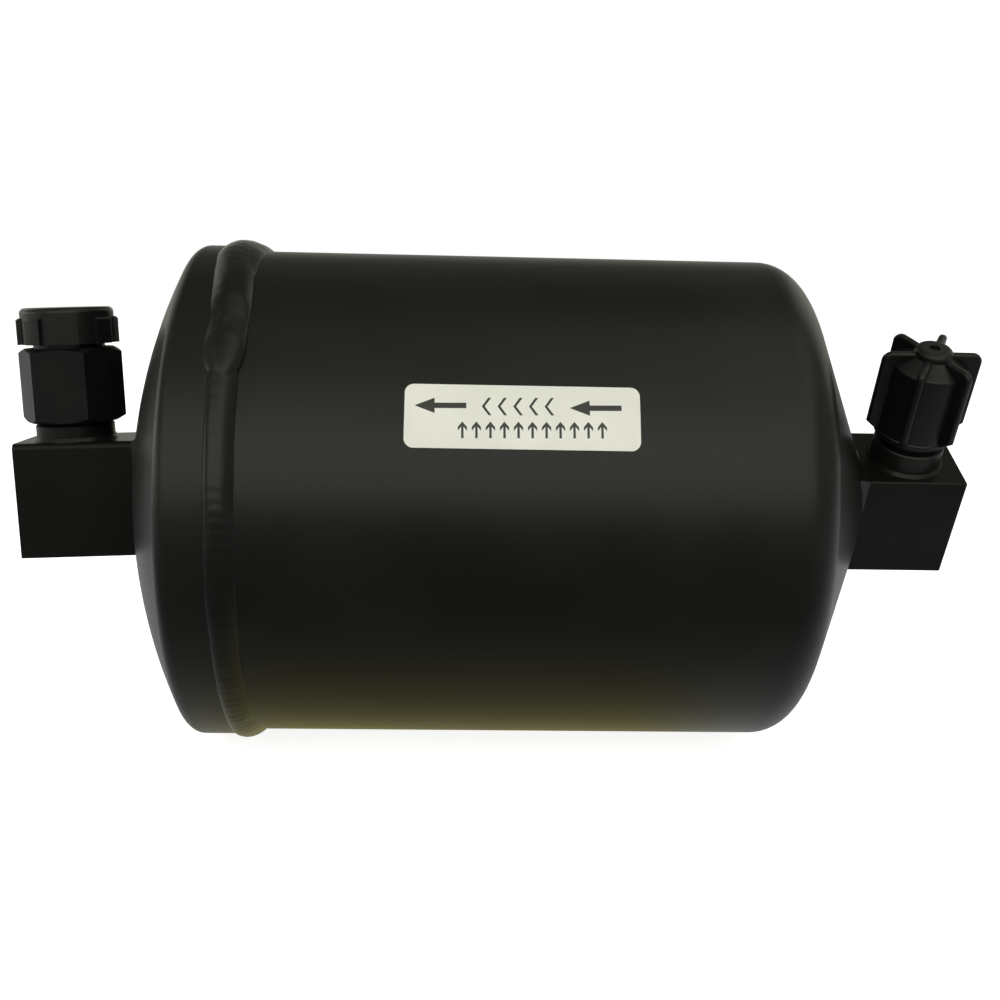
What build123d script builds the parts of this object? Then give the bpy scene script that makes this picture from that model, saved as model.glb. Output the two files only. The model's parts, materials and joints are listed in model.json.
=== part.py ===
from build123d import *
import os
from math import asin, atan2, cos, degrees, radians, sin, sqrt, tan
from types import SimpleNamespace

# Inline filter drier: a drawn steel can with a lapped and welded end cap, a bar-stock fitting block on the
# middle of each dome, a male threaded inlet under a six-finned cap and a swivel-nut outlet closed by a plug.
# Millimetres. X runs along the can towards the inlet, Z is the outlet port's direction before its weld tilt,
# and the origin is on the can's axis inside the straight barrel. Refrigerant flows from +X to -X.

# ---- Can: barrel and inlet dome drawn in one piece, open end necked in to enter the end cap
can_od = 120.65
can_wall = 2.5
barrel_inlet_end = 63.0        # X where the straight barrel turns into the inlet shoulder
inlet_knuckle = 10.0
inlet_crown = 125.5
inlet_flank = 52.4             # radius inside which the dome runs on as a straight cone
neck_slope_length = 3.4        # length of the joggle between the barrel and the necked end
neck_length = 10.0             # necked end that lies inside the cap's skirt

# ---- End cap: deeper drawn cap whose skirt slides over the necked end
cap_wall = 2.5
skirt_stand = 1.2              # how far the skirt stands proud of the barrel
skirt_end = 61.4               # distance of the skirt's open edge from the origin
cap_shoulder = 72.3            # distance at which the skirt turns into the outlet dome
cap_knuckle = 3.0
cap_crown = 124.8
cap_flank = 18.0
lap_clearance = 0.1

# ---- Flat land and pierced hole in the middle of both domes
land_radius = 16.0
hole_clearance = 0.3

# ---- Seam weld: a bead over the skirt's edge, with a thicker lap where the pass starts and stops
bead_on_skirt = 3.0            # how far the bead reaches over the skirt; it ends where the joggle starts
bead_height = 0.85             # crest above the skirt
lap_width = 9.4
lap_offset = 1.6               # middle of the lap from the skirt's edge, over the skirt
lap_height = 2.1               # above the barrel
lap_start = 37.0               # clock angles about X, from -Y towards +Z
lap_sweep = 62.0

# ---- Fitting blocks: drilled bar stock
block_height = 28.6
block_depth = 22.2
block_top = 13.6               # port face above the can's axis
inlet_block_length = 26.2      # from the dome's land to the block's outer face
outlet_block_length = 30.7
inlet_clock = 27.3             # inlet block turned about X towards -Y
outlet_tilt = 2.5              # the outlet block is welded on slightly out of square
inlet_edge_break = 0.3
outlet_edge_radius = 1.5
spigot_radius = 8.0
spigot_inside = 1.5            # how far a spigot stands inside the can's wall
passage_radius = 4.0
drill_point = 118.0
root_depth = 6.0               # socket for a spud's root
spotface_margin = 0.85         # spotface beyond the spud's neck
spotface_depth = 0.5
block_weld_leg = 1.6
block_weld_taper = 30.0
block_weld_gap = 0.02          # between the weld's foot and the dome it is laid on

# ---- Inlet: male spud, 5/8-18 thread
inlet_port_inset = 13.0        # port axis in from the block's outer face
inlet_thread_od = 15.875
inlet_pitch = 25.4 / 18
inlet_root_radius = 7.0
inlet_neck_radius = 8.7
inlet_neck_height = 5.8
inlet_relief_radius = 6.9
inlet_relief_height = 3.0
inlet_thread_length = 16.5
seat_radius = 5.3
seat_depth = 5.0
braze_height = 0.9
braze_lip = 0.25               # thickness of its blunt upper edge

# ---- Inlet cap: moulded, six fins
cap_seal_thickness = 1.4
cap_seal_play = 0.05           # between the seal and the cap's roof
cap_rim_gap = 2.4              # opening between the spud's neck and the cap's rim
cap_skin = 0.95
cap_rim_height = 1.2
cap_rim_stand = 0.25
cap_barrel_rise = 19.4         # rim to where the barrel turns into its domed top
cap_crown_rise = 21.9          # rim to the foot of the hub
cap_top_round = 1.0
cap_hub_radius = 4.6
cap_hub_height = 23.9          # rim to the top of the hub
cap_hub_round = 1.4
cap_dimple_radius = 1.3
cap_dimple_depth = 0.6
fin_count = 6
fin_thickness = 1.9
fin_radius = 12.2
fin_top = 22.6                 # rim to the top edge of the fins
fin_corner = 2.4
fin_foot = 3.0                 # height of the slope under each fin
fin_edge = 0.75

# ---- Outlet: spud, swivel nut 7/8 across flats, 3/4-16 thread
outlet_port_inset = 12.6
outlet_pitch = 25.4 / 16
outlet_root_radius = 7.5
outlet_neck_radius = 9.525
outlet_neck_height = 4.2
outlet_tube_radius = 6.3
nut_flats = 22.2
nut_length = 18.4
nut_clock = 1.0
nut_floor = 7.4                # thickness of the inner shoulder that the spud's collar retains
nut_chamfer = 30.0
nut_wire = 0.4                 # flat ring left inside the corners at each end
retainer_radius = 8.2
retainer_height = 2.2
pilot_radius = 6.0
pilot_length = 7.0
ring_section = 1.78
ring_squeeze = 0.58            # how far the O-ring stands out of its groove
ring_height = 3.0              # O-ring centre above the retaining collar

# ---- Outlet plug: moulded, lugged head
plug_seal_thickness = 0.95
plug_stem_radius = 8.56
plug_head_gap = 1.0            # opening left between the nut and the plug's head
plug_head_radius = 11.15
plug_head_height = 8.9
plug_head_round = 1.3
plug_roof = 4.4
plug_bore_radius = 6.95
lug_count = 8
lug_radius = 12.15
lug_width = 4.6
lug_height = 6.4
lug_chamfer = 0.5
plug_clock = 17.5

# ---- Inside the can, from the inlet to the outlet
spring_wire = 3.0
spring_radius = 22.0
spring_turns = 4
plate_thickness = 1.5
plate_flange = 4.0
plate_fit = 0.25               # between a plate and the necked end that it has to pass
pad_fit = 0.3                  # between a pad or the desiccant and the can's wall
inlet_plate_x = 48.0
inlet_pad_thickness = 5.0
bed_length = 88.0
outlet_pad_thickness = 6.0
screen_thickness = 0.6
cup_wall = 1.2
perforation_radius = 2.5
perforation_pitch = 15.0
perforation_rings = 3

# ---- Label
label_length = 50.2
label_height = 14.3
label_corner = 2.0
label_thickness = 0.08
label_x = 2.4
label_clock = 25.3             # from -Y towards +Z

# ---- Edges of the turned parts
edge_break = 0.6
thread_lead = 1.0              # chamfer that starts the inlet thread
ring_land = 1.3                # groove width over the O-ring's section

# ---- Clearances between parts that turn or slide on each other
running_gap = 0.3
seat_gap = 0.25

can_radius = can_od / 2
skirt_radius = can_radius + skirt_stand
neck_radius = skirt_radius - cap_wall - lap_clearance
hole_radius = spigot_radius + hole_clearance
plate_radius = neck_radius - can_wall - plate_fit
fill_radius = can_radius - can_wall - pad_fit
bed_inlet = inlet_plate_x - inlet_pad_thickness
bed_outlet = bed_inlet - bed_length
pad_face = bed_outlet - outlet_pad_thickness
screen_face = pad_face - screen_thickness
cap_bore = inlet_thread_od / 2 + running_gap


def dome_frame(start, radius, knuckle, crown):
    """Centre of the crown arc and the angle at which the knuckle arc hands over to it."""
    centre = start - sqrt((crown - knuckle) ** 2 - (radius - knuckle) ** 2)
    return centre, degrees(atan2(radius - knuckle, start - centre))


def dome_land(start, radius, knuckle, crown, flank):
    """X of the flat land that the dome's flank climbs to."""
    centre, _ = dome_frame(start, radius, knuckle, crown)
    lean = asin(flank / crown)
    return centre + crown * cos(lean) + (flank - land_radius) * tan(lean)


def dome_outline(start, radius, knuckle, crown, flank, inner, depth=0.0):
    """Half outline of a pressed dome from its barrel in to the radius inner: knuckle, crown, cone and land.

    depth moves the outline inwards along its own normals, so the same call gives both faces of the wall.
    """
    centre, handover = dome_frame(start, radius, knuckle, crown)
    lean = asin(flank / crown)
    crown_face = crown - depth
    flank_foot = (centre + crown_face * cos(lean), crown_face * sin(lean))
    land = dome_land(start, radius, knuckle, crown, flank) - depth
    flank_top = (land, flank_foot[1] - (land - flank_foot[0]) / tan(lean))
    return [
        CenterArc((start, radius - knuckle), knuckle - depth, 90, handover - 90),
        CenterArc((centre, 0), crown_face, handover, degrees(lean) - handover),
        Line(flank_foot, flank_top),
        Line(flank_top, (land, inner)),
    ]


def turned(*points):
    """Solid of revolution about Z through points given as (radius, height)."""
    outline = Polyline(*[(radius, 0, height) for radius, height in points], close=True)
    return revolve(make_face(outline), Axis.Z)


def disc(radius, height, bottom=0.0, bore=0.0):
    """Round plate or tube about Z, standing on the height bottom."""
    plate = Pos(0, 0, bottom) * Cylinder(radius, height, align=(Align.CENTER, Align.CENTER, Align.MIN))
    if bore:
        plate -= Pos(0, 0, bottom) * Cylinder(bore, height, align=(Align.CENTER, Align.CENTER, Align.MIN))
    return plate


def along_x(solid):
    """Turns a solid made about Z so that its Z lies along X."""
    return Rot(0, 90, 0) * solid


inlet_dome = (barrel_inlet_end, can_radius, inlet_knuckle, inlet_crown, inlet_flank)
outlet_dome = (cap_shoulder, skirt_radius, cap_knuckle, cap_crown, cap_flank)
inlet_land = dome_land(*inlet_dome)
outlet_land = dome_land(*outlet_dome)
inlet_block_end = inlet_land + inlet_block_length
outlet_block_end = outlet_land + outlet_block_length

# The two ends: sign is the end's direction along X, and frame carries a block made square to the can
# to its place. The outlet block tilts about the point where it meets its dome.
inlet_turn = Rot(inlet_clock, 0, 0)
outlet_turn = Pos(-outlet_land, 0, 0) * Rot(0, -outlet_tilt, 0) * Pos(outlet_land, 0, 0)
inlet_end = SimpleNamespace(sign=1, dome=inlet_dome, land=inlet_land, wall=can_wall, end=inlet_block_end,
                            port_x=inlet_block_end - inlet_port_inset, root=inlet_root_radius,
                            neck=inlet_neck_radius, spotface=inlet_neck_radius + spotface_margin,
                            frame=inlet_turn)
outlet_end = SimpleNamespace(sign=-1, dome=outlet_dome, land=outlet_land, wall=cap_wall, end=outlet_block_end,
                             port_x=outlet_port_inset - outlet_block_end, root=outlet_root_radius,
                             neck=outlet_neck_radius, spotface=outlet_neck_radius + spotface_margin,
                             frame=outlet_turn)

# Heights on the two port axes, from the can's axis
spud_seat = block_top - spotface_depth
inlet_neck_top = block_top + inlet_neck_height
inlet_thread_start = inlet_neck_top + inlet_relief_height
inlet_nose = inlet_thread_start + inlet_thread_length
cap_rim = inlet_neck_top + cap_rim_gap
cap_roof = inlet_nose + cap_seal_thickness + cap_seal_play
outlet_neck_top = block_top + outlet_neck_height
nut_bottom = outlet_neck_top + running_gap
nut_top = nut_bottom + nut_length
retainer_bottom = nut_bottom + nut_floor + running_gap
retainer_top = retainer_bottom + retainer_height
pilot_top = retainer_top + pilot_length
plug_foot = retainer_top + plug_seal_thickness
plug_head = nut_top + plug_head_gap


def make_can_body():
    """Necked end, barrel and inlet dome as one revolved wall, pierced for the block's spigot."""
    neck_start = -skirt_end
    neck_end = neck_start - neck_length
    slope_start = neck_start + neck_slope_length
    outer = dome_outline(*inlet_dome, hole_radius)
    inner = dome_outline(*inlet_dome, hole_radius, can_wall)
    bore = can_radius - can_wall
    neck_bore = neck_radius - can_wall
    walls = Polyline((neck_end, neck_bore), (neck_end, neck_radius), (neck_start, neck_radius),
                     (slope_start, can_radius), (barrel_inlet_end, can_radius))
    lining = Polyline((neck_end, neck_bore), (neck_start, neck_bore), (slope_start, bore),
                      (barrel_inlet_end, bore))
    rim = Line((inlet_land, hole_radius), (inlet_land - can_wall, hole_radius))
    return revolve(make_face([walls, *outer, rim, *inner, lining]), Axis.X)


def make_end_cap():
    """Skirt and outlet dome, made facing +X and mirrored to the outlet end."""
    outer = dome_outline(*outlet_dome, hole_radius)
    inner = dome_outline(*outlet_dome, hole_radius, cap_wall)
    bore = skirt_radius - cap_wall
    skirt = Line((skirt_end, skirt_radius), (cap_shoulder, skirt_radius))
    edge = Line((skirt_end, skirt_radius), (skirt_end, bore))
    lining = Line((skirt_end, bore), (cap_shoulder, bore))
    rim = Line((outlet_land, hole_radius), (outlet_land - cap_wall, hole_radius))
    return mirror(revolve(make_face([edge, skirt, *outer, rim, *inner, lining]), Axis.X), about=Plane.YZ)


def dome_height(dome, radius, depth=0.0):
    """X of a dome's face at a radius, on its crown or on the straight cone inside it."""
    start, outer, knuckle, crown, flank = dome
    centre, _ = dome_frame(start, outer, knuckle, crown)
    lean = asin(flank / crown)
    face = crown - depth
    if radius > face * sin(lean):
        return centre + sqrt(face ** 2 - radius ** 2)
    return centre + face * cos(lean) + (face * sin(lean) - radius) * tan(lean)


def filled_dome(dome):
    """The solid that a dome's outer face encloses, from the middle of the can to its land."""
    start, radius = dome[0], dome[1]
    land = dome_land(*dome)
    closing = Polyline((start, radius), (0, radius), (0, 0), (land, 0))
    return revolve(make_face([*dome_outline(*dome, 0.0), closing]), Axis.X)


def clocked(angle):
    """Turn about X that carries -Y to a clock angle, which is measured from -Y towards +Z."""
    return Rot(-angle, 0, 0)


def make_seam_weld():
    """Bead in the corner of skirt and barrel, with the raised lap of its start and stop."""
    toe = -skirt_end - bead_on_skirt
    heel = -skirt_end + neck_slope_length
    crest = (-skirt_end, skirt_radius + bead_height)
    face = ThreePointArc((toe, skirt_radius), crest, (heel, can_radius))
    floor = Polyline((heel, can_radius), (-skirt_end, neck_radius + lap_clearance),
                     (-skirt_end, skirt_radius), (toe, skirt_radius))
    bead = revolve(make_face([face, floor]), Axis.X)
    middle = -skirt_end - lap_offset
    ball = ((lap_width / 2) ** 2 + lap_height ** 2) / (2 * lap_height)
    section = Pos(middle, ball - lap_height - can_radius) * Circle(ball)
    lap = clocked(lap_start) * revolve(section, -Axis.X, lap_sweep)
    for angle in (lap_start, lap_start + lap_sweep):
        lap += clocked(angle) * Pos(middle, ball - lap_height - can_radius, 0) * Sphere(ball)
    lap -= along_x(disc(can_radius, skirt_end, -skirt_end))
    lap -= along_x(disc(skirt_radius, skirt_end, -2 * skirt_end))
    return bead + lap


def faced(side, solid):
    """Turns a solid made for the +X end towards the end it is for."""
    return solid if side.sign > 0 else mirror(solid, about=Plane.YZ)


def drilling(depth, radius=passage_radius):
    """Drilled hole that ends at height 0 in the cone left by the drill's point, with its mouth at -depth."""
    tip = radius / tan(radians(drill_point / 2))
    return turned((0, -depth), (radius, -depth), (radius, 0), (0, tip))


def block_blank(side):
    """The bar and its turned spigot before drilling, square to the can and facing +X."""
    length = side.end - side.land
    middle = Pos(side.land + length / 2, 0, block_top - block_height / 2)
    bar = middle * Box(length, block_depth, block_height)
    if side is inlet_end:
        bar = chamfer(bar.edges(), inlet_edge_break)
    else:
        bar = fillet(bar.edges().filter_by(Axis.X).group_by(Axis.Z)[-1], outlet_edge_radius)
    inside = side.wall + spigot_inside
    spigot = Pos(side.land, 0, 0) * along_x(disc(spigot_radius, inside + length / 2, -inside))
    return bar, spigot


def make_block(side):
    """Block coped to its dome, with its run along the spigot, the drop from the port and the socket."""
    bar, spigot = block_blank(side)
    reach = abs(side.port_x) - side.land + side.wall + spigot_inside
    run = Pos(abs(side.port_x), 0, 0) * along_x(drilling(reach))
    drop = drilling(block_top).mirror(Plane.XY)
    socket = disc(side.root, root_depth, block_top - root_depth)
    spotface = disc(side.spotface, spotface_depth, spud_seat)
    bores = run + Pos(abs(side.port_x), 0, 0) * (drop + socket + spotface)
    shell = faced(side, filled_dome(side.dome))
    coped = side.frame * faced(side, bar) - shell
    return coped + side.frame * faced(side, spigot) - side.frame * faced(side, bores)


def make_block_weld(side):
    """Fillet weld round the foot of a block, filling the wedge between its flat end and the dome."""
    bar, spigot = block_blank(side)
    corner = sqrt((block_height / 2) ** 2 + (block_depth / 2) ** 2) + block_weld_leg
    dip = side.land - dome_height(side.dome, corner)
    rise = dip + block_weld_leg
    spread = 2 * rise * tan(radians(block_weld_taper))
    foot = Rectangle(block_height + spread, block_depth + spread)
    skirt = along_x(extrude(foot, rise, taper=block_weld_taper))
    skirt = Pos(side.land - dip, 0, block_top - block_height / 2) * skirt
    shell = faced(side, Pos(block_weld_gap, 0, 0) * filled_dome(side.dome))
    spotface = at_port(side, disc(side.spotface + running_gap, block_height, spud_seat))
    return side.frame * faced(side, skirt - bar - spigot) - shell - spotface


def make_braze(side):
    """Ring of braze that fills the spotface and climbs the spud's neck, with a blunt upper lip."""
    top = block_top + braze_height
    return at_port(side, turned(
        (side.neck, spud_seat), (side.spotface, spud_seat), (side.spotface, block_top),
        (side.neck + braze_lip, top), (side.neck, top)))


def at_port(side, solid):
    """Moves a solid made about Z, with heights from the can's axis, to its port."""
    return side.frame * Pos(side.port_x, 0, 0) * solid


def make_inlet_spud():
    """Root, neck, relief and threaded nose, bored through, with a seat for the mating tube."""
    foot = block_top - root_depth
    thread = inlet_thread_od / 2
    return at_port(inlet_end, turned(
        (passage_radius, foot), (inlet_root_radius, foot), (inlet_root_radius, spud_seat),
        (inlet_neck_radius, spud_seat), (inlet_neck_radius, inlet_neck_top - edge_break),
        (inlet_neck_radius - edge_break, inlet_neck_top), (inlet_relief_radius, inlet_neck_top),
        (inlet_relief_radius, inlet_thread_start),
        (thread, inlet_thread_start + thread - inlet_relief_radius),
        (thread, inlet_nose - thread_lead), (thread - thread_lead, inlet_nose),
        (seat_radius + edge_break, inlet_nose), (seat_radius, inlet_nose - edge_break),
        (seat_radius, inlet_nose - seat_depth),
        (passage_radius, inlet_nose - seat_depth - seat_radius + passage_radius)))


def make_cap_seal():
    """Flat rubber disc between the spud's nose and the cap's roof."""
    return at_port(inlet_end, disc(cap_bore - running_gap, cap_seal_thickness, inlet_nose))


def make_inlet_cap():
    """Thin barrel with a rolled rim and a domed top, crossed by six fins that meet at a dimpled hub."""
    barrel = cap_bore + cap_skin
    shoulder = cap_rim + cap_barrel_rise
    hub_top = cap_rim + cap_hub_height
    fin_edge_top = cap_rim + fin_top
    crown = cap_rim + cap_crown_rise
    rim = barrel + cap_rim_stand
    rim_top = cap_rim + cap_rim_height
    shell = turned((0, cap_rim), (rim, cap_rim), (rim, rim_top), (barrel, rim_top + cap_rim_stand),
                   (barrel, shoulder), (cap_hub_radius, crown), (0, crown))
    shell = fillet(shell.edges().filter_by(GeomType.CIRCLE).group_by(Axis.Z)[-2], cap_top_round)
    foot = cap_rim + fin_foot
    outline = Polyline((0, 0, foot), (barrel - cap_skin / 2, 0, cap_rim), (fin_radius, 0, foot),
                       (fin_radius, 0, fin_edge_top), (0, 0, fin_edge_top), close=True)
    blade = extrude(make_face(outline), fin_thickness / 2, dir=(0, 1, 0), both=True)
    blade = fillet(blade.edges().filter_by(Axis.Y).group_by(Axis.Z)[-1].sort_by(Axis.X)[-1], fin_corner)
    rounded = blade.edges().group_by(Axis.Y)
    blade = fillet([edge for edge in rounded[0] + rounded[-1] if edge.center().X > barrel
                    or edge.center().Z > crown], fin_edge)
    cap = shell + [Rot(0, 0, 360 * number / fin_count) * blade for number in range(fin_count)]
    hub = disc(cap_hub_radius, hub_top - crown, crown)
    hub = fillet(hub.edges().group_by(Axis.Z)[-1], cap_hub_round)
    cap = cap + hub - disc(cap_dimple_radius, cap_dimple_depth, hub_top - cap_dimple_depth)
    lead = cap_skin / 2
    bore = turned((0, cap_rim), (cap_bore + lead, cap_rim), (cap_bore, cap_rim + lead),
                  (cap_bore, cap_roof), (0, cap_roof))
    return at_port(inlet_end, cap - bore)


def make_outlet_spud():
    """Root, neck, tube, retaining collar and grooved pilot, bored through."""
    foot = block_top - root_depth
    groove = retainer_top + ring_height
    half = ring_section * ring_land / 2
    bottom = pilot_radius + ring_squeeze - ring_section
    return at_port(outlet_end, turned(
        (passage_radius, foot), (outlet_root_radius, foot), (outlet_root_radius, spud_seat),
        (outlet_neck_radius, spud_seat), (outlet_neck_radius, outlet_neck_top - edge_break),
        (outlet_neck_radius - edge_break, outlet_neck_top), (outlet_tube_radius, outlet_neck_top),
        (outlet_tube_radius, retainer_bottom), (retainer_radius, retainer_bottom),
        (retainer_radius, retainer_top),
        (pilot_radius, retainer_top), (pilot_radius, groove - half), (bottom, groove - half),
        (bottom, groove + half), (pilot_radius, groove + half), (pilot_radius, pilot_top - edge_break),
        (pilot_radius - edge_break, pilot_top), (passage_radius, pilot_top)))


def make_outlet_o_ring():
    """Rubber ring in the pilot's groove."""
    middle = pilot_radius + ring_squeeze - ring_section / 2
    return at_port(outlet_end, Pos(0, 0, retainer_top + ring_height) * Torus(middle, ring_section / 2))


def make_swivel_nut():
    """Chamfered hexagon with a floor that hooks under the spud's collar and a threaded mouth."""
    corner = nut_flats / 2 / cos(radians(30))
    inner = nut_flats / 2 - nut_wire
    slope = (corner - inner) * tan(radians(nut_chamfer))
    hexagon = extrude(RegularPolygon(nut_flats / 2, 6, major_radius=False, rotation=nut_clock), nut_length)
    envelope = turned((0, 0), (inner, 0), (corner, slope), (corner, nut_length - slope),
                      (inner, nut_length), (0, nut_length))
    nut = Pos(0, 0, nut_bottom) * (hexagon & envelope)
    nut -= disc(outlet_tube_radius + running_gap, nut_length, nut_bottom)
    mouth = plug_stem_radius + running_gap
    nut -= turned((0, nut_bottom + nut_floor), (mouth, nut_bottom + nut_floor), (mouth, nut_top - edge_break),
                  (mouth + edge_break, nut_top), (0, nut_top))
    return at_port(outlet_end, nut)


def make_plug_seal():
    """Flat rubber ring between the spud's collar and the plug's stem."""
    return at_port(outlet_end, disc(retainer_radius, plug_seal_thickness, retainer_top, plug_bore_radius))


def make_outlet_plug():
    """Hollow threaded stem under a round head with eight gripping lugs."""
    top = plug_head + plug_head_height
    head = disc(plug_head_radius, plug_head_height, plug_head)
    head = fillet(head.edges().group_by(Axis.Z)[-1], plug_head_round)
    outwards = (Align.MIN, Align.CENTER, Align.MIN)
    lug = Pos(0, 0, plug_head) * Box(lug_radius, lug_width, lug_height, align=outwards)
    lug &= turned((0, plug_head), (lug_radius, plug_head), (lug_radius, plug_head + lug_height - lug_chamfer),
                  (lug_radius - lug_chamfer, plug_head + lug_height), (0, plug_head + lug_height))
    plug = head + [Rot(0, 0, plug_clock + 360 * number / lug_count) * lug for number in range(lug_count)]
    plug += turned((0, plug_foot), (plug_stem_radius - edge_break, plug_foot),
                   (plug_stem_radius, plug_foot + edge_break), (plug_stem_radius, plug_head), (0, plug_head))
    plug -= disc(plug_bore_radius, top - plug_roof - plug_foot, plug_foot)
    return at_port(outlet_end, plug)


def perforations(thickness):
    """Holes of a plate: one in the middle, then six more in each ring than in the one before."""
    drill = Cylinder(perforation_radius, thickness, align=(Align.CENTER, Align.CENTER, Align.MIN))
    holes = [drill]
    for ring in range(1, perforation_rings + 1):
        holes += [place * drill for place in PolarLocations(ring * perforation_pitch, 6 * ring)]
    return holes


def inside(start, solid):
    """Lays a piece made about Z into the can, with its foot at X = start."""
    return Pos(start, 0, 0) * along_x(solid)


def make_inlet_plate():
    """Perforated disc with a short flange towards the spring."""
    plate = disc(plate_radius, plate_thickness + plate_flange)
    plate -= disc(plate_radius - plate_thickness, plate_flange, plate_thickness)
    return inside(inlet_plate_x, plate - perforations(plate_thickness))


def make_inlet_spring():
    """Open coil ground flat at both ends, from the inlet plate to the slope of the dome."""
    start = inlet_plate_x + plate_thickness
    end = dome_height(inlet_dome, spring_radius + spring_wire / 2, can_wall) - seat_gap
    length = end - start
    coil = Helix(length / spring_turns, length, spring_radius)
    section = Plane(coil @ 0, z_dir=coil % 0) * Circle(spring_wire / 2)
    spring = sweep(section, coil) & disc(spring_radius + spring_wire, length)
    return inside(start, spring)


def make_outlet_cup():
    """Deep drawn cup: perforated floor under the filter, open rim against the end cap's dome."""
    rim = dome_height(outlet_dome, plate_radius, cap_wall) - seat_gap
    depth = rim + screen_face
    cup = disc(plate_radius, depth) - disc(plate_radius - cup_wall, depth - cup_wall, cup_wall)
    cup -= perforations(cup_wall)
    return mirror(inside(-screen_face, cup), about=Plane.YZ)


def make_label():
    """Printed film wrapped on the barrel."""
    tangent = Plane.XZ.offset(can_radius - label_height)
    patch = tangent * RectangleRounded(label_length, label_height, label_corner)
    film = along_x(disc(can_radius + label_thickness, label_length, -label_length / 2, can_radius))
    film &= extrude(patch, 2 * label_height)
    return Pos(label_x, 0, 0) * clocked(label_clock) * film


pieces = {
    "can_body": make_can_body(),
    "end_cap": make_end_cap(),
    "seam_weld": make_seam_weld(),
    "inlet_block": make_block(inlet_end),
    "inlet_block_weld": make_block_weld(inlet_end),
    "inlet_spud": make_inlet_spud(),
    "inlet_braze": make_braze(inlet_end),
    "cap_seal": make_cap_seal(),
    "inlet_cap": make_inlet_cap(),
    "outlet_block": make_block(outlet_end),
    "outlet_block_weld": make_block_weld(outlet_end),
    "outlet_spud": make_outlet_spud(),
    "outlet_braze": make_braze(outlet_end),
    "outlet_o_ring": make_outlet_o_ring(),
    "swivel_nut": make_swivel_nut(),
    "plug_seal": make_plug_seal(),
    "outlet_plug": make_outlet_plug(),
    "inlet_spring": make_inlet_spring(),
    "inlet_plate": make_inlet_plate(),
    "inlet_pad": inside(bed_inlet, disc(fill_radius, inlet_pad_thickness)),
    "desiccant_bed": inside(bed_outlet, disc(fill_radius, bed_length)),
    "outlet_pad": inside(pad_face, disc(fill_radius, outlet_pad_thickness)),
    "outlet_screen": inside(screen_face, disc(plate_radius, screen_thickness)),
    "outlet_cup": make_outlet_cup(),
    "label": make_label(),
}

os.makedirs("parts", exist_ok=True)
for name, piece in pieces.items():
    export_step(piece, f"parts/{name}.step")
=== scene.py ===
import json
from math import cos, pi, radians, sin

import bmesh
import bpy
import numpy as np
from mathutils import Matrix, Vector


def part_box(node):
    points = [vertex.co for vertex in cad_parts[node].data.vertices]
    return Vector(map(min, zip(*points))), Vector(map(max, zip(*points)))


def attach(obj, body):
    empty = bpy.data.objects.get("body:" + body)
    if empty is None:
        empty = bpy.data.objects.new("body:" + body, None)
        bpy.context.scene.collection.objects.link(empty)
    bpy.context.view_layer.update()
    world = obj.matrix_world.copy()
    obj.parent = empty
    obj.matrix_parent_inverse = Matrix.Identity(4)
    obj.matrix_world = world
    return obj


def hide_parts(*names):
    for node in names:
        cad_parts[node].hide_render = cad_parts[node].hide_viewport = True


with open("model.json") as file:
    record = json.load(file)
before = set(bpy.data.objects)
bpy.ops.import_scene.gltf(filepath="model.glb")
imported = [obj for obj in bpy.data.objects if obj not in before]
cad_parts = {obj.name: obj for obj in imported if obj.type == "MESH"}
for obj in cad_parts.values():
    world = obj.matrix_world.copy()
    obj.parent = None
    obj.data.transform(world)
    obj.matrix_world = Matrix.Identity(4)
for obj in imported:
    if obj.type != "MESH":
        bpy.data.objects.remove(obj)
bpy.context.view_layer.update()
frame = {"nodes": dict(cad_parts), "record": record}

nodes = frame["nodes"]
record = frame["record"]

# ---- Camera. A plain lens a third of a metre in front of the can, a little above its axis and a little
# towards the outlet end, aimed close by the origin. Its directions are unit vectors, given along X and
# along two directions that lean with the view.
lean = radians(9.53)
ahead_of_can = Vector((0, -cos(lean), sin(lean)))
above_can = Vector((0, sin(lean), cos(lean)))
camera_right = 0.99917933 * Vector((1, 0, 0)) + 0.03753017 * ahead_of_can + 0.01523642 * above_can
camera_down = 0.01503529 * Vector((1, 0, 0)) + 0.00563568 * ahead_of_can - 0.99987108 * above_can
camera_look = 0.0376112 * Vector((1, 0, 0)) - 0.9992796 * ahead_of_can - 0.00506678 * above_can
camera_distance = 0.31792
camera_drop = 0.001611
focal_share = 1.2256            # focal length over the picture's width

camera_data = bpy.data.cameras.new("camera")
camera_data.sensor_width = 36.0
camera_data.lens = focal_share * camera_data.sensor_width
camera_data.clip_start = 0.01
camera_data.clip_end = 20.0
camera = bpy.data.objects.new("camera", camera_data)
bpy.context.scene.collection.objects.link(camera)
place = camera_down * camera_drop - camera_look * camera_distance
turn = Matrix((camera_right, -camera_down, -camera_look)).transposed()
camera.matrix_world = Matrix.Translation(place) @ turn.to_4x4()
bpy.context.scene.camera = camera
bpy.context.scene.view_settings.view_transform = "Standard"


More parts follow.
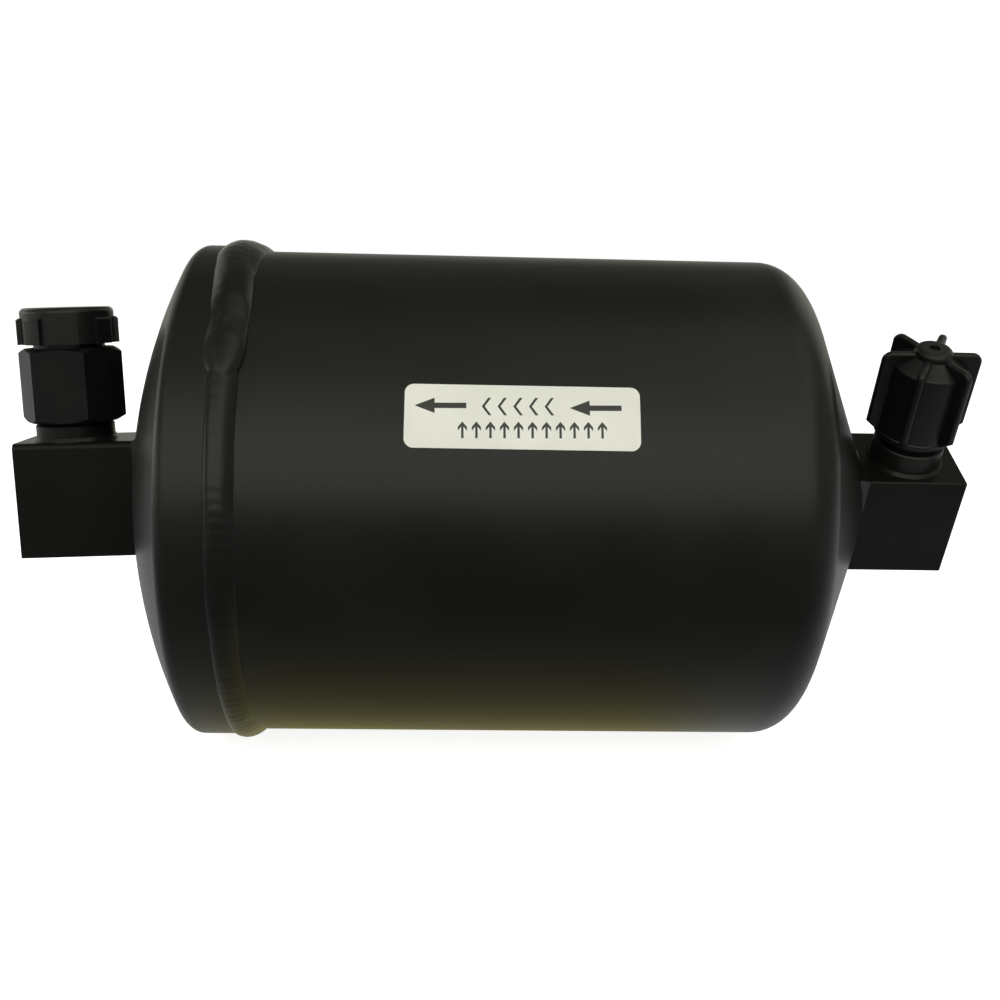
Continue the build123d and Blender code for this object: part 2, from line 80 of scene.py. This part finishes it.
# ---- Shell: barrel and end cap, drawn steel under one sprayed coat of satin black. The film has a fine
# orange peel, clouds in its gloss and a few specks of dust. Tap and Tree below are the shader arithmetic.
class Tap:
    """One shader output. a + b, a * b, a % b and the like each add a Math node and give its output."""

    def __init__(self, tree, socket):
        self.tree = tree
        self.socket = socket

    def maths(self, operation, *values):
        return self.tree.node("ShaderNodeMath", {"operation": operation}, dict(enumerate(values)))

    def __add__(self, other):
        return self.maths("ADD", self, other)

    def __sub__(self, other):
        return self.maths("SUBTRACT", self, other)

    def __rsub__(self, other):
        return self.maths("SUBTRACT", other, self)

    def __mul__(self, other):
        return self.maths("MULTIPLY", self, other)

    def __mod__(self, other):
        return self.maths("FLOORED_MODULO", self, other)

    __radd__ = __add__
    __rmul__ = __mul__

    def size(self):
        return self.maths("ABSOLUTE", self)

    def root(self):
        return self.maths("SQRT", self)

    def sine(self):
        return self.maths("SINE", self)

    def least(self, other):
        return self.maths("MINIMUM", self, other)

    def most(self, other):
        return self.maths("MAXIMUM", self, other)

    def ramp(self, low, high):
        """0 below low, 1 above high, and a smooth step between them."""
        return self.tree.node("ShaderNodeMapRange", {"interpolation_type": "SMOOTHSTEP"},
                              {0: self, 1: low, 2: high, 3: 0.0, 4: 1.0})


class Tree:
    """A node tree that taps are added to: a material's or the world's."""

    def __init__(self, tree):
        self.tree = tree

    def node(self, kind, settings=(), sockets=(), output=0):
        """Adds a node, sets its properties and sockets, and gives one of its outputs."""
        added = self.tree.nodes.new(kind)
        for key, value in dict(settings).items():
            setattr(added, key, value)
        for key, value in dict(sockets).items():
            self.feed(added.inputs[key], value)
        return Tap(self, added.outputs[output])

    def feed(self, socket, value):
        """Links a tap to a socket, or sets the socket to a plain value."""
        if isinstance(value, Tap):
            self.tree.links.new(value.socket, socket)
        else:
            socket.default_value = value

    def outputs(self, kind, sockets=()):
        """Adds a node and gives its outputs by name."""
        first = self.node(kind, {}, sockets)
        return {socket.name: Tap(self, socket) for socket in first.socket.node.outputs}

    def xyz(self, vector):
        """The three components of a vector."""
        split = self.outputs("ShaderNodeSeparateXYZ", {0: vector})
        return split["X"], split["Y"], split["Z"]

    def join(self, x, y, z):
        return self.node("ShaderNodeCombineXYZ", {}, {0: x, 1: y, 2: z})

    def mix(self, share, first, second):
        """The colour first where share is 0, second where it is 1."""
        return self.node("ShaderNodeMixRGB", {}, {"Fac": share, "Color1": first, "Color2": second})


class Finish(Tree):
    """A material with one Principled shader, which settle() sets and connects."""

    def __init__(self, name):
        self.material = bpy.data.materials.new(name)
        self.material.use_nodes = True
        super().__init__(self.material.node_tree)
        self.shader = self.tree.nodes["Principled BSDF"]
        self.place = self.node("ShaderNodeTexCoord", output="Object")

    def noise(self, size, detail=2.0, roughness=0.5, vector=None):
        """Noise from 0 to 1 whose blotches are about size metres across."""
        return self.node("ShaderNodeTexNoise", {}, {
            "Vector": vector or self.place, "Scale": 1.0 / size, "Detail": detail, "Roughness": roughness})

    def specks(self, spacing, radius):
        """1 inside small round specks that are about spacing metres apart and radius metres in size."""
        distance = self.node("ShaderNodeTexVoronoi", {}, {"Vector": self.place, "Scale": 1.0 / spacing},
                             output="Distance")
        return 1 - distance.ramp(0.5 * radius / spacing, radius / spacing)

    def relief(self, height, distance):
        """A bump whose height, 0 to 1, stands for distance metres."""
        return self.node("ShaderNodeBump", {}, {"Height": height, "Distance": distance, "Strength": 1.0})

    def settle(self, **values):
        """Sets the shader's sockets, named with underscores for spaces, and gives the finish."""
        for key, value in values.items():
            self.feed(self.shader.inputs[key.replace("_", " ")], value)
        return self


def dress(finish, *names):
    """Gives CAD nodes their finish."""
    for name in names:
        nodes[name].data.materials.clear()
        nodes[name].data.materials.append(finish.material)


def grey(level, warmth=0.0):
    """A near-neutral colour; warmth takes a share out of its blue."""
    return (level, level, level * (1 - warmth), 1.0)


def black_coat(name, level=0.0050, gloss=0.33, peel=0.000007, cloud=0.09, dust=0.35, warmth=0.06,
               shine=0.24):
    """Sprayed or moulded black: orange peel, clouds in the gloss, and specks of dust under the film."""
    coat = Finish(name)
    clouds = coat.noise(0.030, 3.0)
    grain = coat.noise(0.0009, 2.0, 0.6)
    swell = coat.noise(0.0055, 1.0)
    motes = coat.specks(0.0065, 0.00016) * coat.noise(0.012, 0.0).ramp(0.52, 0.60)
    shade = coat.mix(clouds.ramp(0.35, 0.65), grey(level, warmth), grey(level * 1.4, warmth))
    shade = coat.mix(motes * dust, shade, grey(0.16, 0.05))
    rough = gloss + (clouds - 0.5) * cloud + (grain - 0.5) * 0.05 + motes * 0.2
    normal = coat.relief(grain * 0.45 + swell * 0.55 + motes * 0.8, peel)
    return coat.settle(Base_Color=shade, Roughness=rough, Normal=normal, Specular_IOR_Level=shine)


dress(black_coat("shell_paint"), "can_body", "end_cap")


# ---- Seam weld: the bead over the skirt's edge, laid in one turn with the rotator running, so it has
# fine crescent ripples, wandering edges and a thicker lap where the pass starts and stops.
def skin_mesh(name, points, finish, body, stands_for):
    """A ring through a grid of points, rows round it by columns round its section, in place of CAD nodes."""
    rows, columns = points.shape[:2]
    index = np.arange(rows * columns).reshape(rows, columns)
    index = np.vstack([index, index[:1]])
    index = np.hstack([index, index[:, :1]])
    quads = np.stack([index[:-1, :-1], index[1:, :-1], index[1:, 1:], index[:-1, 1:]], axis=-1)
    quads = quads.reshape(-1, 4)
    sharp_edge = radians(35)
    mesh = bpy.data.meshes.new(name)
    mesh.from_pydata(points.reshape(-1, 3).tolist(), [], quads.tolist())
    mesh.validate()
    shape = bmesh.new()
    shape.from_mesh(mesh)
    bmesh.ops.recalc_face_normals(shape, faces=shape.faces)
    shape.to_mesh(mesh)
    shape.free()
    mesh.shade_smooth()
    mesh.set_sharp_from_angle(angle=sharp_edge)
    mesh.materials.append(finish.material)
    piece = bpy.data.objects.new(name, mesh)
    bpy.context.scene.collection.objects.link(piece)
    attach(piece, body)
    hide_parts(*stands_for)


def wander(angle, seed, waves=(3, 7, 13, 29, 53)):
    """A sum of sine waves round the circle with seeded phases, the shorter ones weaker. It runs from about
    -1 to 1 with the usual waves and stays smaller with short waves alone."""
    weaker = 0.12
    usual_sum = 1.8
    phases = np.random.default_rng(seed).uniform(0, 2 * pi, len(waves))
    parts = [np.sin(wave * angle + phase) / (1 + weaker * wave) for wave, phase in zip(waves, phases)]
    return sum(parts) / usual_sum


def seam_weld_points(turns=900, across=26):
    """The weld's skin and floor round the can. Over u from the toe, u = 0, to the heel, u = 1, with
    w = 2 u^0.85 - 1, the bead's radius is chord + height (1 - |w|^2.2) + ripple (1 - w^4), a hair lower.
    Over v from the lap's middle line, v = 0, to its edge, v = 1, the lap's radius is
    barrel + (lap height + swirl) (1 - v^2.1)^0.78. The skin is the higher of the two. The floor follows
    the skirt's edge and the joggle. Lengths are in metres, and the lap's places in clock degrees."""
    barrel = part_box("can_body")[1].z
    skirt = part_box("end_cap")[1].z
    skirt_edge = -0.0614
    lap_start = 30.7
    lap_stop = 100.5
    tip_length = 9.5
    waist_clock = 47
    sunk = 0.0001                  # how deep the skin's edges lie under the shell
    clock = np.linspace(0, 2 * pi, turns, endpoint=False)[:, None]
    degrees = np.degrees(clock)

    # Where the bead's two edges and the lap's middle and half width run; the lap drifts to the skirt
    inside = np.minimum(degrees - lap_start, lap_stop - degrees)
    short_of_full = np.clip((tip_length - inside) / tip_length, 0, 1)
    grown = np.clip(1 - short_of_full ** 2.2, 0, 1) ** 0.6 * (inside > 0)
    toe = -0.06425 + 0.00022 * wander(clock, 1)
    heel = -0.05795 + 0.00028 * wander(clock, 2)
    drift = np.clip((degrees - 50) / 27, 0, 1)
    lap_middle = -0.0619 + 0.00025 * wander(clock, 3, (5, 11)) - 0.0024 * drift * drift * (3 - 2 * drift)
    lap_half = 0.0050 * grown + 0.00018 * wander(clock, 7, (17, 31, 47)) * grown + 1e-6
    left = np.minimum(toe, lap_middle - lap_half)
    right = np.maximum(heel, lap_middle + lap_half)
    share = np.linspace(0, 1, across)[None, :]
    share = share - 0.06 * np.sin(2 * pi * share)
    x = left + (right - left) * share

    # The bead, with its ripples
    u = np.clip((x - toe) / (heel - toe), 0, 1)
    w = 2 * u ** 0.85 - 1
    height = 0.00130 + 0.00010 * wander(clock, 4)
    chord = skirt + (barrel - skirt) * u
    swing = 1.2 * wander(clock, 5, (9, 17))
    crescents = np.sin(148 * clock + 2.6 * w ** 2 + swing) * 0.000018
    ripple = crescents + 0.00010 * wander(clock + 9 * x, 8, (31, 47, 71))
    bead = chord + height * (1 - np.abs(w) ** 2.2) + ripple * (1 - w ** 4) - 0.00004

    # The lap, with a waist between its first lump and the rest
    v = np.clip(np.abs(x - lap_middle) / lap_half, 0, 1)
    waist = np.exp(-((degrees - waist_clock) / 5.0) ** 2)
    lap_height = 0.00265 * grown ** 0.4 + 0.00012 * wander(clock, 6) - 0.00085 * waist
    lumps = 0.00016 * wander(clock + 40 * x, 9, (13, 23, 41))
    swirl = np.sin(96 * clock + 3.0 * v ** 2) * 0.00002 + lumps
    lap = barrel + (lap_height + swirl) * (1 - v ** 2.1) ** 0.78 - 0.0002 * (grown <= 0)

    beyond_bead = (x < toe) | (x > heel)
    radius = np.maximum(np.where(beyond_bead, barrel - 0.0003, bead), lap)
    radius[:, 0] = np.where(left[:, 0] < skirt_edge, skirt, barrel) - sunk
    radius[:, -1] = barrel - sunk
    edge = np.full_like(heel, skirt_edge)
    floor = ((right, barrel - 0.0004), (edge, barrel - 0.0012),
             (edge, skirt - 0.0003), (left, skirt - 0.0003))
    x = np.hstack([x] + [place for place, _ in floor])
    radius = np.hstack([radius] + [np.full_like(heel, level) for _, level in floor])
    return np.stack([x, -radius * np.cos(clock), radius * np.sin(clock)], axis=-1)


weld_paint = black_coat("weld_paint", level=0.0053, gloss=0.27, peel=0.000010, cloud=0.12)
skin_mesh("weld_bead", seam_weld_points(), weld_paint, "drier", ("seam_weld",))
dress(black_coat("block_weld_paint", level=0.0053, gloss=0.32, peel=0.000014),
      "inlet_block_weld", "outlet_block_weld")


# ---- Fitting blocks: lengths of drawn bar, drilled and welded to the domes, painted with the shell. The
# brazed rings at the spuds carry a slightly glossier, lumpier film.
dress(black_coat("block_paint", level=0.0045, gloss=0.30, peel=0.000012, shine=0.11),
      "inlet_block", "outlet_block")
dress(black_coat("braze_paint", level=0.0053, gloss=0.27, peel=0.000016), "inlet_braze", "outlet_braze")
dress(black_coat("spud_paint", gloss=0.30, peel=0.000003, shine=0.16), "outlet_spud")


# ---- Inlet spud: turned bar with a 5/8-18 thread rolled on its nose; the thread is a real helix here, where
# the CAD node has a plain cylinder over its crests. It is made about the cap's joint axis.
joints = {joint["name"]: joint for joint in record["behaviour"]["joints"]}


def port_frame(joint):
    """Two directions across a joint's axis, the axis, and the joint's point, which heights start from."""
    axis = np.array(joints[joint]["axis"])
    along = np.array([1.0, 0.0, 0.0])
    along = along - axis * along.dot(axis)
    along = along / np.linalg.norm(along)
    return along, np.cross(axis, along), axis, np.array(joints[joint]["pos_m"])


def turned_points(joint, outline, groove, around=192):
    """A surface turned about a port: outline is (radius, height) pairs in metres, and
    groove(radius, height, turn) gives the radius with any thread cut in it, for turn from 0 to 1."""
    across, beside, axis, foot = port_frame(joint)
    outline = np.array(outline)
    turn = np.arange(around)[:, None] / around
    radius = groove(outline[None, :, 0], outline[None, :, 1], turn)
    ring = np.cos(2 * pi * turn)[..., None] * across + np.sin(2 * pi * turn)[..., None] * beside
    return foot + ring * radius[..., None] + outline[None, :, 1, None] * axis


spud_nose = 0.0389
thread_foot = 0.0224
thread_major = 0.0079375


def spud_outline():
    """Root, neck, relief, 5/8-18 nose, seat and bore, as the CAD spud has them, as (radius, height) pairs."""
    rows = [(0.0040, 0.0076), (0.0070, 0.0076), (0.0070, 0.0131), (0.0087, 0.0131), (0.0087, 0.0191),
            (0.0084, 0.0194), (0.0069, 0.0194), (0.0069, thread_foot)]
    rows += [(thread_major, height) for height in np.linspace(thread_foot + 0.00005, spud_nose - 0.0001, 176)]
    rows += [(0.0067, spud_nose), (0.0056, spud_nose), (0.0053, spud_nose - 0.0003),
             (0.0053, spud_nose - 0.0050), (0.0040, spud_nose - 0.0063)]
    return rows


def spud_thread(radius, height, turn, pitch=0.0254 / 18, depth=0.00087):
    """A right-handed groove with flat crest and root and curved flanks: the radius less depth times a
    clipped triangle wave of height / pitch - turn, faded out over the lead-in and the run-out."""
    wave = np.abs(((height / pitch - turn) % 1.0) * 2 - 1)
    cut = np.clip((wave - 0.16) / 0.68, 0, 1)
    cut = cut * cut * (1.6 - 0.6 * cut)
    lead_in = np.clip((spud_nose - height) / 0.0013, 0, 1)
    run_out = np.clip((height - thread_foot) / 0.0012, 0, 1)
    threaded = np.abs(radius - thread_major) < 0.00003
    crest = radius - 0.0010 * (1 - lead_in) - 0.0010 * (1 - run_out)
    return np.where(threaded, np.minimum(crest, radius - depth * cut * lead_in * run_out), radius)


def plain(radius, height, turn):
    """No thread: the outline's own radius all round."""
    return radius + 0 * turn


thread_steel = black_coat("thread_black", level=0.0066, gloss=0.34, peel=0.000002, dust=0.1)
skin_mesh("inlet_spud_threaded", turned_points("cap_turn", spud_outline(), spud_thread),
          thread_steel, "drier", ("inlet_spud",))


# ---- Swivel nut: turned from hexagon bar and blackened, and kept on the outlet spud by its collar. It has a
# fine grain and faint clouds, and is a little duller than the paint.
nut_black = Finish("nut_black")
nut_clouds = nut_black.noise(0.010, 3.0)
nut_grain = nut_black.noise(0.0007, 2.0, 0.6)
nut_dark = (0.0057, 0.0059, 0.0064, 1)
nut_pale = (0.0080, 0.0082, 0.0087, 1)
nut_black.settle(
    Base_Color=nut_black.mix(nut_clouds.ramp(0.35, 0.65), nut_dark, nut_pale),
    Roughness=0.36 + (nut_clouds - 0.5) * 0.10 + (nut_grain - 0.5) * 0.05,
    Normal=nut_black.relief(nut_grain, 0.000004), Specular_IOR_Level=0.12)
dress(nut_black, "swivel_nut")


# ---- Inlet cap: one moulding of black plastic with six fins, screwed over the inlet's thread to keep dirt
# and damp out. Its grain is fine, and it is the duller of the two mouldings.
dress(black_coat("cap_plastic", level=0.0060, gloss=0.36, peel=0.000004, cloud=0.05, dust=0.2, warmth=-0.05),
      "inlet_cap")


# ---- Outlet plug: one moulding of black plastic with eight lugs, screwed into the swivel nut. It is a little
# glossier than the cap.
dress(black_coat("plug_plastic", level=0.0068, gloss=0.32, peel=0.000004, cloud=0.06, dust=0.3, warmth=-0.05),
      "outlet_plug")


# ---- Seals: black rubber, flat under the cap and the plug and round on the outlet's pilot. The plug's seal
# is a washer with rounded edges, which stays just clear of the collar under it.
seal_rubber = black_coat("seal_rubber", level=0.0095, gloss=0.62, peel=0.000003, cloud=0.05, dust=0.2,
                         warmth=0.0)
dress(seal_rubber, "cap_seal", "outlet_o_ring")


def washer_outline(inner, outer, low, high, round_over=0.0002):
    """A flat washer's section with rounded edges, as (radius, height) pairs in metres."""
    corners = ((outer, low, 1, -1, -90), (outer, high, 1, 1, 0),
               (inner, high, -1, 1, 90), (inner, low, -1, -1, 180))
    return [(radius - out * round_over + round_over * cos(radians(start + step)),
             height - up * round_over + round_over * sin(radians(start + step)))
            for radius, height, out, up, start in corners for step in (0, 30, 60, 90)]


washer = washer_outline(inner=0.00700, outer=0.00817, low=0.02804, high=0.02891)
skin_mesh("plug_seal_washer", turned_points("plug_turn", washer, plain, around=144),
          seal_rubber, "plug_seal", ("plug_seal",))


# ---- Spring, plate and cup: bright steel. The spring is wound from wire, and the plate and the cup are
# pressed and perforated. Like all the inner pieces they show only when the shell is hidden.
def bright_steel(name, level, gloss, scratch):
    """Bare steel with drawing marks that run round the can's axis."""
    steel = Finish(name)
    x, y, z = steel.xyz(steel.place)
    lines = steel.noise(0.0006, 3.0, 0.7, steel.join(x, (y * y + z * z).root(), 0.0))
    stain = steel.noise(0.015, 3.0)
    shade = steel.mix(stain.ramp(0.4, 0.7), grey(level), grey(level * 0.86, 0.04))
    return steel.settle(Base_Color=shade, Metallic=1.0, Roughness=gloss + (lines - 0.5) * 0.16,
                        Normal=steel.relief(lines, scratch))


dress(bright_steel("spring_steel", 0.46, 0.26, 0.000003), "inlet_spring")
dress(bright_steel("plate_steel", 0.50, 0.32, 0.000004), "inlet_plate", "outlet_cup")


# ---- Outlet screen: a disc of woven steel wire beside the cup. Its weave is the larger of two sine waves
# across and along the disc.
screen_steel = Finish("screen_steel")
_, across, along = screen_steel.xyz(screen_steel.place)
wires = 2 * pi / 0.0008
weave = (across * wires).sine().size().most((along * wires).sine().size())
screen_steel.settle(Base_Color=screen_steel.mix(weave.ramp(0.6, 0.9), grey(0.06), grey(0.44)), Metallic=1.0,
                    Roughness=0.55 - weave * 0.2, Normal=screen_steel.relief(weave, 0.00012))
dress(screen_steel, "outlet_screen")


# ---- Filter pads: felted pale fibre, one disc at each end of the bed, with fine fibres over broader tufts.
felt = Finish("filter_pad")
felt_dark = (0.62, 0.61, 0.57, 1)
felt_pale = (0.84, 0.83, 0.79, 1)
fibres = felt.noise(0.0006, 5.0, 0.75)
tufts = felt.noise(0.004, 3.0)
felt.settle(Base_Color=felt.mix(fibres.ramp(0.3, 0.7), felt_dark, felt_pale),
            Roughness=0.9 - tufts * 0.05, Normal=felt.relief(fibres * 0.6 + tufts * 0.4, 0.0003))
dress(felt, "inlet_pad", "outlet_pad")


# ---- Desiccant: the imported round beads, which the CAD has as one solid. Each cell of the pattern is a bead
# with its own tint, raised in the middle, and the gaps between beads are darkened with painted shade.
beads = Finish("desiccant")
bead_size = 0.0024
bead_brown = (0.70, 0.62, 0.47, 1)
bead_cream = (0.84, 0.79, 0.66, 1)
# Painted shade: the dark colour laid into the gaps between beads.
bead_gap_shade = (0.22, 0.18, 0.13, 1)
cells = beads.outputs("ShaderNodeTexVoronoi", {"Vector": beads.place, "Scale": 1 / bead_size})
tint = beads.xyz(cells["Color"])[0]
# The mask of the gaps between beads: it lays the painted shade there, and it also makes the gaps rougher.
gap_shade = cells["Distance"].ramp(0.42, 0.62)
shade = beads.mix(tint, bead_brown, bead_cream)
beads.settle(Base_Color=beads.mix(gap_shade, shade, bead_gap_shade), Roughness=0.78 + gap_shade * 0.15,
             Normal=beads.relief(1 - cells["Distance"] * cells["Distance"], 0.0009))
dress(beads, "desiccant_bed")


# ---- Label: white film printed in black, wrapped on the barrel. The print is two plain flow arrows with
# rows of small marks between them and below, drawn as distances in metres along and round the can.
label = Finish("label_film")
x, y, z = label.xyz(label.place)
film_radius = 0.06035
label_middle = 0.0024
label_clock = radians(25.3)
print_turn = 0.8 * pi / 180
blur = 0.00004
clock = z.maths("ARCTAN2", z, y * -1.0)
s = x - label_middle
t = (clock - label_clock) * film_radius
s, t = s + t * sin(print_turn), t - s * sin(print_turn)


def inked(distance):
    """1 where the distance inside a mark's outline is positive, with the print's soft edge."""
    return distance.ramp(-blur, blur)


def arrow(middle, tip, base, start, end):
    """A plain arrow that points to -s: a head from tip to base, and a shaft from start to end."""
    head_half = 0.00175
    shaft_half = 0.00062
    level = t - middle
    head = (base - s).least((s - tip) * (head_half / (base - tip)) - level.size())
    shaft = (s - start).least(end - s).least(shaft_half - level.size())
    return inked(head.most(shaft))


def row(first, last, middle, half, pitch, mark):
    """A row of marks; mark(along, level) is the distance inside one of them."""
    level = t - middle
    window = (s - first).least(last - s).least(half - level.size())
    return inked(mark((s - first) % pitch, level).least(window))


stroke = 0.00026
chevron_pitch = 0.00334
small_pitch = 0.00297
small_half = 0.0018


def chevron(along, level):
    """A chevron that points to -s."""
    return stroke - (along - chevron_pitch * 0.22 - level.size() * 0.7).size() * 0.82


def small_arrow(along, level):
    """A small arrow that points round the can to +t."""
    aside = (along - small_pitch * 0.5).size()
    wings = (stroke - (aside * 1.25 + level - small_half * 0.8).size() * 0.62).least(0.00098 - aside)
    return wings.most((stroke - aside).least(small_half * 0.8 - level))


ink = arrow(middle=0.00248, tip=-0.02297, base=-0.01868, start=-0.01880, end=-0.01196)
ink = ink.most(arrow(middle=0.00200, tip=0.01003, base=0.01434, start=0.01420, end=0.02114))
ink = ink.most(row(-0.0091, 0.0076, 0.0023, 0.0020, chevron_pitch, chevron))
ink = ink.most(row(-0.0143, 0.0184, -0.00296, small_half, small_pitch, small_arrow))
fibre = label.noise(0.0005, 3.0, 0.6)
patch = label.noise(0.012, 2.0)
film_dark = (0.80, 0.815, 0.775, 1)
film_pale = (0.86, 0.87, 0.84, 1)
ink_black = (0.013, 0.013, 0.012, 1)
film = label.mix(patch.ramp(0.3, 0.7), film_dark, film_pale)
label.settle(Base_Color=label.mix(ink, film, ink_black),
             Roughness=0.46 - ink * 0.10 + (fibre - 0.5) * 0.06,
             Normal=label.relief(fibre * 0.6 - ink * 0.4, 0.000004))
dress(label, "label")


# ---- Floor and light: a pale floor just under the can, white to the camera with a soft contact shadow, and a
# sky of soft panels in front, low at the left, at both sides behind and low behind. The camera sees that
# sky as white. To all other rays the floor glows a little, warmest under and behind the can's middle.
floor_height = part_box("seam_weld")[0].z - 0.0006
floor_half = 3.0
mesh = bpy.data.meshes.new("floor")
corners = [(across * floor_half, along * floor_half, floor_height)
           for across, along in ((-1, -1), (1, -1), (1, 1), (-1, 1))]
mesh.from_pydata(corners, [], [(0, 1, 2, 3)])
floor = bpy.data.objects.new("floor", mesh)
bpy.context.scene.collection.objects.link(floor)

floor_paint = Finish("floor_paint")
shown = floor_paint.outputs("ShaderNodeLightPath")["Is Camera Ray"]
x, y, _ = floor_paint.xyz(floor_paint.place)
aside = x.size().ramp(0.10, 0.35)
under = y.ramp(-0.105, -0.030)
glow = 0.19 + under.most(aside * 0.9) * 0.36
middle = (1 - (x + 0.010).size().ramp(0.040, 0.080)) * under
straw = (1.0, 0.93, 0.42, 1)
warm = floor_paint.mix(middle, grey(1.0), straw)
white = floor_paint.node("ShaderNodeEmission", {}, {"Color": grey(1.0), "Strength": 0.86})
pale = floor_paint.node("ShaderNodeBsdfDiffuse", {}, {"Color": grey(0.75)})
lit = floor_paint.node("ShaderNodeAddShader", {}, {0: white, 1: pale})
seen_by_paint = floor_paint.node("ShaderNodeEmission", {}, {"Color": warm, "Strength": glow})
mixed = floor_paint.node("ShaderNodeMixShader", {}, {0: shown, 1: seen_by_paint, 2: lit})
floor_paint.tree.links.new(mixed.socket, floor_paint.tree.nodes["Material Output"].inputs["Surface"])
floor.data.materials.append(floor_paint.material)

world = bpy.data.worlds.new("world")
bpy.context.scene.world = world
world.use_nodes = True
sky = Tree(world.node_tree)
x, y, z = sky.xyz(sky.node("ShaderNodeTexCoord", output="Generated"))
even_light = 0.15
front_light = 1.77
left_light = 1.9
side_light = 0.75
back_light = 0.5
front = (y * -1.0).ramp(-0.35, 0.15)
narrow = 1 - x.size().ramp(0.42, 0.78) * 0.82
high = z.ramp(0.50, 0.97) * (0.72 - x * 0.7).least(0.97)
panel = z.ramp(-0.02, 0.17) * (1 - high) * front * narrow * front_light
left = (x * -1.0).ramp(0.72, 0.92) * z.ramp(-0.12, 0.05) * (1 - z.ramp(0.18, 0.42)) * left_light
rear = x.size().ramp(0.30, 0.60) * y.ramp(0.20, 0.50) * z.ramp(0.10, 0.30)
rear = rear * (1 - z.ramp(0.70, 0.90)) * side_light
rear_low = y.ramp(0.25, 0.60) * z.ramp(-0.05, 0.10) * (1 - z.ramp(0.24, 0.42)) * back_light
strength = panel.most(left).most(rear).most(rear_low) + even_light
shown = sky.outputs("ShaderNodeLightPath")["Is Camera Ray"]
sky.feed(sky.tree.nodes["Background"].inputs["Strength"], strength.most(shown))
sky_cream = (1.0, 0.985, 0.87, 1)
sky.feed(sky.tree.nodes["Background"].inputs["Color"], sky.mix(shown, sky_cream, grey(1.0)))
